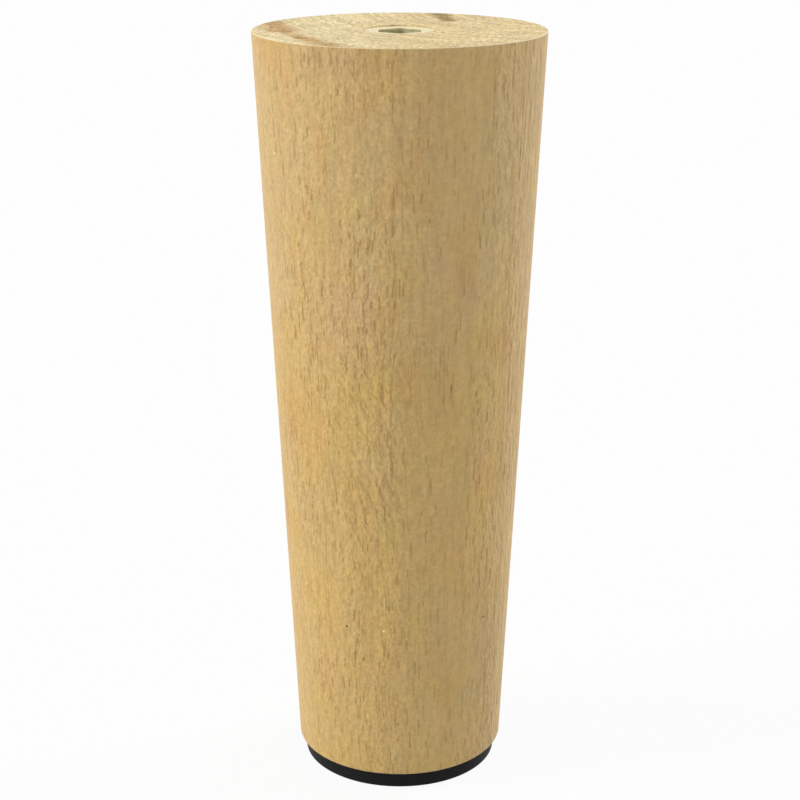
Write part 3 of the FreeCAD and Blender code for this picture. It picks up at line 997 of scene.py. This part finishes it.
def floor_finish():
    """A white floor that keeps the leg's shadow; from below, the camera looks through it."""
    floor = Finish(bpy.data.materials.new("white_studio_floor"))
    paper = floor.node("ShaderNodeBsdfDiffuse", {"Color": PAPER_WHITE}).outputs[0]
    glow = floor.node("ShaderNodeEmission", {"Color": WHITE, "Strength": 1.0}).outputs[0]
    share = floor.multiply(floor.seen_directly(), FLOOR_GLOW)
    mixed = floor.node("ShaderNodeMixShader", {0: share, 1: paper, 2: glow}).outputs[0]
    from_below = floor.multiply(floor.node("ShaderNodeNewGeometry").outputs["Backfacing"],
                                floor.node("ShaderNodeLightPath").outputs["Is Camera Ray"])
    clear = floor.node("ShaderNodeBsdfTransparent").outputs[0]
    ending = floor.node("ShaderNodeMixShader", {0: from_below, 1: mixed, 2: clear}).outputs[0]
    floor.node("ShaderNodeOutputMaterial", {"Surface": ending})
    return floor.holder


def light_room():
    """A plain pale room that lights the leg evenly and looks white behind it."""
    room = Finish(bpy.data.worlds.new("pale_room"))
    strength = room.node("ShaderNodeMapRange", {"Value": room.seen_directly(), "To Min": ROOM_LEVEL,
                                                "To Max": 1.0}).outputs["Result"]
    walls = room.node("ShaderNodeBackground", {"Color": WHITE, "Strength": strength}).outputs[0]
    room.node("ShaderNodeOutputWorld", {"Surface": walls})
    bpy.context.scene.world = room.holder


def hang_lamp(name, turn, height, strength, softness, tint):
    """A soft lamp far off, at that many degrees round from the front and above the horizon."""
    lamp = bpy.data.lights.new(name, "SUN")
    lamp.energy = strength
    lamp.angle = math.radians(softness)
    lamp.color = tint
    holder = bpy.data.objects.new(name, lamp)
    holder.rotation_euler = (math.radians(90 - height), 0.0, math.radians(turn))
    bpy.context.scene.collection.objects.link(holder)


def set_up_camera():
    """A long lens a little above the leg's top, tilted down at the photograph's angle."""
    camera = bpy.data.cameras.new("studio_camera")
    camera.lens = LENS_MM
    camera.sensor_width = SENSOR_MM
    camera.shift_x = SHIFT
    camera.clip_start = 0.01
    camera.clip_end = 20.0
    holder = bpy.data.objects.new("studio_camera", camera)
    holder.location = CAMERA_PLACE
    holder.rotation_euler = (math.radians(CAMERA_TILT), 0.0, 0.0)
    bpy.context.scene.collection.objects.link(holder)
    bpy.context.scene.camera = holder


class LEG_OT_set_stage(bpy.types.Operator):
    """Lay the floor, hang the lamps and set up the camera"""

    bl_idname = "furniture_leg.set_stage"
    bl_label = "Set the stage"

    def execute(self, context):
        lay_down_tools()
        bpy.ops.mesh.primitive_plane_add(size=FLOOR_SIZE, location=(0.0, 0.0, -CLOSE))
        floor = start_piece("studio_floor")
        floor.data.materials.append(floor_finish())
        light_room()
        for lamp in LAMPS:
            hang_lamp(*lamp)
        set_up_camera()
        context.scene.view_settings.view_transform = "Standard"
        return {"FINISHED"}


class LEG_PT_panel(bpy.types.Panel):
    """The leg's pieces, in the order they are made"""

    bl_idname = "LEG_PT_panel"
    bl_label = "Furniture leg"
    bl_space_type = "VIEW_3D"
    bl_region_type = "UI"
    bl_category = "Furniture leg"

    def draw(self, context):
        for name, group in SETTINGS.items():
            box = self.layout.box()
            for setting in group.__annotations__:
                box.prop(getattr(context.scene, name), setting)
        for operator in OPERATORS:
            self.layout.operator(operator.bl_idname)


OPERATORS = (LEG_OT_set_stage, LEG_OT_turn_wood, LEG_OT_make_insert, LEG_OT_mould_glide,
             LEG_OT_drive_screw)
SETTINGS = {"leg_wood": LegWoodSettings, "leg_insert": LegInsertSettings,
            "leg_glide": LegGlideSettings}
CLASSES = tuple(SETTINGS.values()) + OPERATORS + (LEG_PT_panel,)


def register():
    """Register the classes and give the scene its settings."""
    for item in CLASSES:
        bpy.utils.register_class(item)
    for name, group in SETTINGS.items():
        setattr(bpy.types.Scene, name, bpy.props.PointerProperty(type=group))


def unregister():
    """Take the settings and the classes away again."""
    for name in SETTINGS:
        delattr(bpy.types.Scene, name)
    for item in reversed(CLASSES):
        bpy.utils.unregister_class(item)


def main():
    """Make every piece and the stage."""
    register()
    bpy.ops.furniture_leg.set_stage()
    bpy.ops.furniture_leg.turn_wood()
    bpy.ops.furniture_leg.make_insert()
    bpy.ops.furniture_leg.mould_glide()
    bpy.ops.furniture_leg.drive_screw()


if __name__ == "__main__":
    main()
